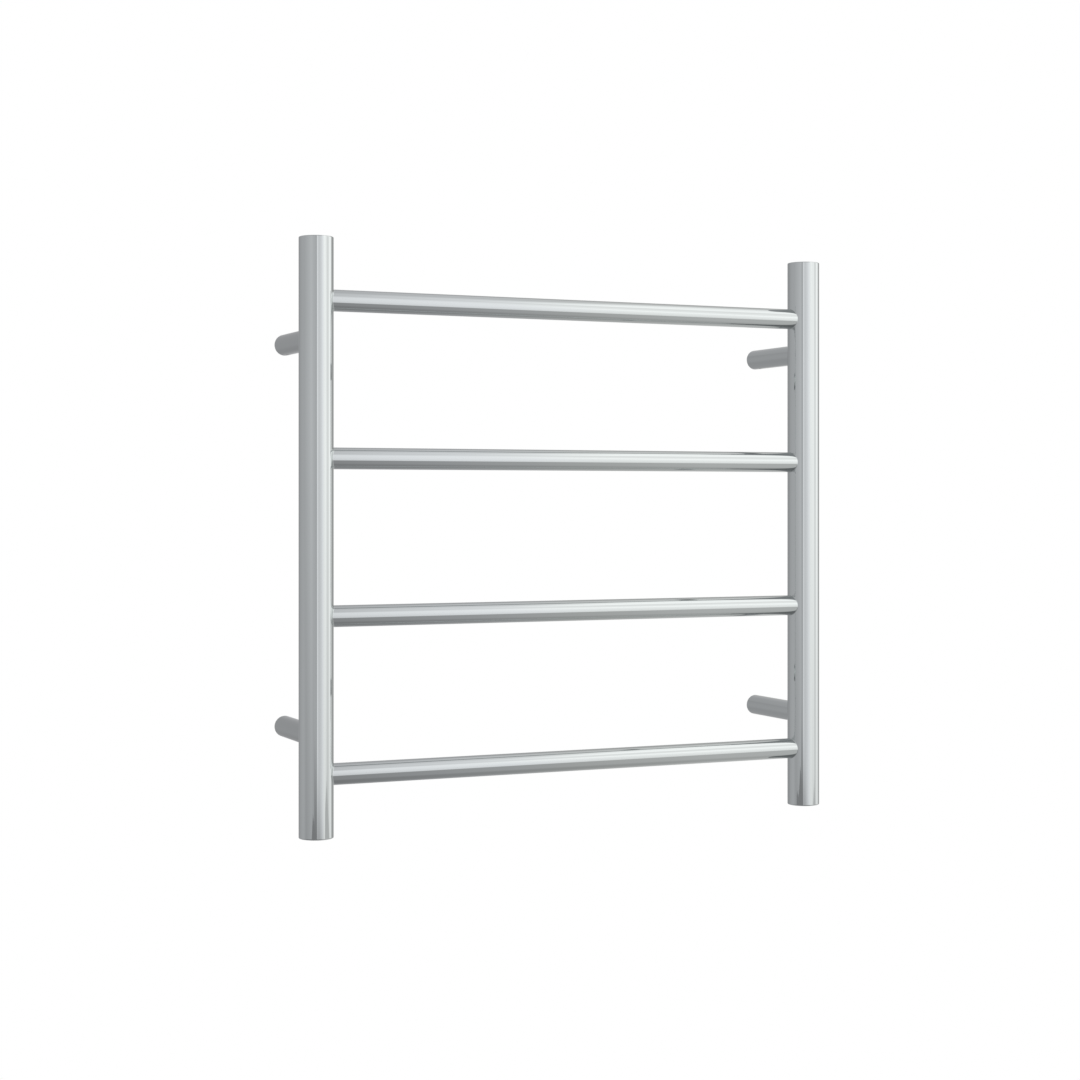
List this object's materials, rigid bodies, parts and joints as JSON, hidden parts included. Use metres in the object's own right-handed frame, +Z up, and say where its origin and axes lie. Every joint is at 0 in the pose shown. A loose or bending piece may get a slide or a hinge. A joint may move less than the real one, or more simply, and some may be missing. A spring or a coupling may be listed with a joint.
{
  "type": "heated towel rail",
  "caption": "Wall-hung electric towel warmer: a ladder of round polished stainless bars between two round posts, on short tubular standoffs, heated by a cable inside.",
  "frame": {"origin": "centre of the four wall screws, on the wall plane, behind the middle of the ladder", "axes": "+Y into the wall, +X to the right for someone facing the rail, +Z up along the posts"},
  "size_m": [0.55, 0.114, 0.55],
  "materials": {
    "mirror_polished_stainless": "polished",
    "turned_aluminium": "satin",
    "stainless_fasteners": "satin",
    "black_silicone": "matte",
    "white_silicone_cable": "satin",
    "nylon_splice": "gloss",
    "cutout_can": "satin",
    "shrink_sleeve": "satin",
    "tinned_copper": "satin",
    "zinc_plated_steel": "satin"
  },
  "bodies": {
    "root": {"left_post": "mirror_polished_stainless", "right_post": "mirror_polished_stainless", "bottom_rail": "mirror_polished_stainless", "lower_middle_rail": "mirror_polished_stainless", "upper_middle_rail": "mirror_polished_stainless", "top_rail": "mirror_polished_stainless", "lower_left_post_cap": "mirror_polished_stainless", "lower_left_standoff": "mirror_polished_stainless", "lower_left_wall_boss": "turned_aluminium", "upper_left_post_cap": "mirror_polished_stainless", "upper_left_standoff": "mirror_polished_stainless", "upper_left_wall_boss": "turned_aluminium", "lower_right_post_cap": "mirror_polished_stainless", "lower_right_standoff": "mirror_polished_stainless", "lower_right_wall_boss": "turned_aluminium", "upper_right_post_cap": "mirror_polished_stainless", "upper_right_standoff": "mirror_polished_stainless", "upper_right_wall_boss": "turned_aluminium", "standoff_grub_screws": "stainless_fasteners", "lead_grommet": "black_silicone", "heating_cable": "white_silicone_cable", "return_tail": "white_silicone_cable", "live_splice": "nylon_splice", "neutral_splice": "nylon_splice", "thermal_cutout": "cutout_can", "cutout_sleeve": "shrink_sleeve", "earth_terminal": "tinned_copper", "earth_washer": "zinc_plated_steel", "earth_screw": "zinc_plated_steel"}
  },
  "joints": []
}
